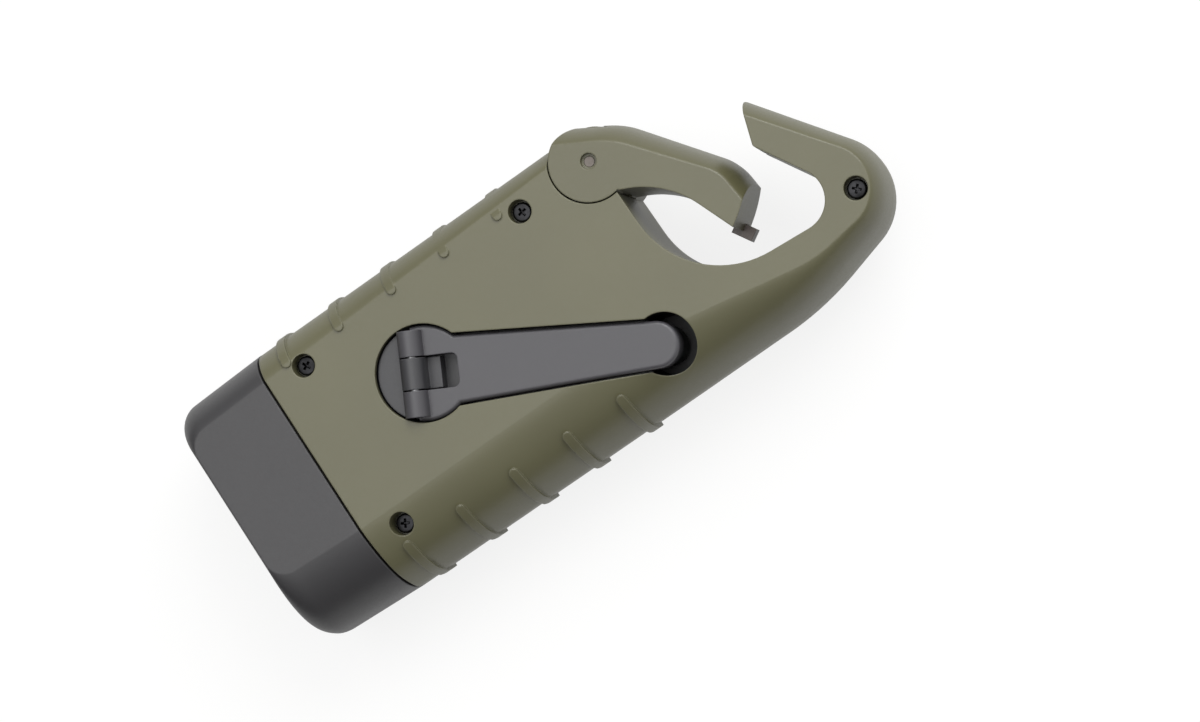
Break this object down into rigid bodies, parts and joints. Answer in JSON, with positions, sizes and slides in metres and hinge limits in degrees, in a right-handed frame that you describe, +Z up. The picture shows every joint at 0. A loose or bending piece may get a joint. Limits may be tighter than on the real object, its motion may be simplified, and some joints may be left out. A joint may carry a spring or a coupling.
{
  "type": "hand crank flashlight",
  "caption": "Hand crank flashlight with a folding crank, a light head, a solar cell in the rear face and a carabiner hook with a spring gate.",
  "frame": {"origin": "under the middle of the part, on the surface that it lies on", "axes": "+X out of the lens along the body, +Y away from the gate side, +Z up out of the crank side"},
  "size_m": [0.142, 0.056, 0.0353],
  "materials": {
    "olive_plastic": "satin moulded",
    "charcoal_plastic": "satin moulded",
    "grey_plastic": "satin moulded",
    "black_plastic": "matt",
    "white_plastic": "satin",
    "clear_plastic": "polished clear",
    "reflector_chrome": "bright metallised",
    "seal_rubber": "matt",
    "button_rubber": "matt",
    "brown_plastic": "matt",
    "green_board": "solder mask",
    "part_black": "moulded",
    "led_clear": "clear epoxy",
    "solar_cell": "dark cell",
    "steel": "bright",
    "black_steel": "black oxide",
    "cell_steel": "nickel plated",
    "wrap_blue": "shrink film",
    "magnet_grey": "sintered",
    "copper_coil": "enamelled copper",
    "gear_white": "nylon",
    "brass": "turned",
    "wire_black": "soft insulation",
    "wire_red": "soft insulation"
  },
  "bodies": {
    "case": {"front_shell": "olive_plastic", "crank_tray": "black_plastic", "rear_shell": "olive_plastic", "head_bezel": "charcoal_plastic", "lens": "clear_plastic", "lens_seal": "seal_rubber", "reflector": "reflector_chrome", "led_board": "white_plastic", "leds": "led_clear", "control_board": "green_board", "board_parts": "part_black", "board_screws": "steel", "tact_switch": "part_black", "solar_panel": "solar_cell", "solar_window": "clear_plastic", "battery_cells": "cell_steel", "battery_wrap": "wrap_blue", "shaft_bush": "brass", "first_axle": "steel", "second_axle": "steel", "stator_core": "steel", "stator_coil": "copper_coil", "gate_pin": "steel", "gate_spring": "steel", "case_screws": "black_steel", "led_wires": "wire_red", "battery_wires": "wire_red", "coil_wires": "wire_black", "solar_wires": "wire_black"},
    "crank": {"crank_disc": "grey_plastic", "crank_shaft": "steel", "shaft_clip": "steel", "crank_gear": "gear_white", "crank_hinge_pin": "steel"},
    "arm": {"crank_arm": "grey_plastic", "knob_pin": "steel"},
    "knob": {"crank_knob": "black_plastic"},
    "first_gear": {"first_gear": "gear_white"},
    "second_gear": {"second_gear": "gear_white"},
    "rotor": {"rotor_shaft": "steel", "rotor_magnet": "magnet_grey", "rotor_pinion": "brass"},
    "gate": {"gate": "olive_plastic", "gate_latch": "brown_plastic"},
    "button": {"switch_button": "button_rubber"}
  },
  "joints": [
    {"name": "crank_spin", "type": "hinge", "parent": "case", "child": "crank", "pos_m": [0.023, -0.0044, 0.0253], "axis": [0, 0, 1], "range_deg": [-0.4, 0.4]},
    {"name": "arm_fold", "type": "hinge", "parent": "crank", "child": "arm", "pos_m": [0.02469, -0.00527, 0.0329], "axis": [0.4571, 0.8894, 0], "range_deg": [0, 180]},
    {"name": "knob_spin", "type": "hinge", "parent": "arm", "child": "knob", "pos_m": [-0.0172, 0.01626, 0.021], "axis": [0, 0, 1], "continuous": true},
    {"name": "first_gear_spin", "type": "hinge", "parent": "case", "child": "first_gear", "pos_m": [0.00741, -0.0134, 0.017], "axis": [0, 0, 1], "range_deg": [-1.6, 1.6]},
    {"name": "second_gear_spin", "type": "hinge", "parent": "case", "child": "second_gear", "pos_m": [-0.00341, -0.00715, 0.0145], "axis": [0, 0, 1], "range_deg": [-6.4, 6.4]},
    {"name": "rotor_spin", "type": "hinge", "parent": "case", "child": "rotor", "pos_m": [0.00234, 0.00281, 0.0092], "axis": [0, 0, 1], "range_deg": [-23.04, 23.04]},
    {"name": "gate_swing", "type": "hinge", "parent": "case", "child": "gate", "pos_m": [-0.0259, -0.0197, 0.0225], "axis": [0, 0, 1], "range_deg": [-3, 31], "stiffness_Nm_per_rad": 0.06, "springref_deg": 37.24},
    {"name": "button_press", "type": "slide", "parent": "case", "child": "button", "axis": [0, 0, 1], "range_m": [0, 0.0008], "stiffness_N_per_m": 600}
  ],
  "couplings": [
    {"joint": "first_gear_spin", "follows": "crank_spin", "ratio": -4},
    {"joint": "second_gear_spin", "follows": "crank_spin", "ratio": 16},
    {"joint": "rotor_spin", "follows": "crank_spin", "ratio": -57.6}
  ]
}
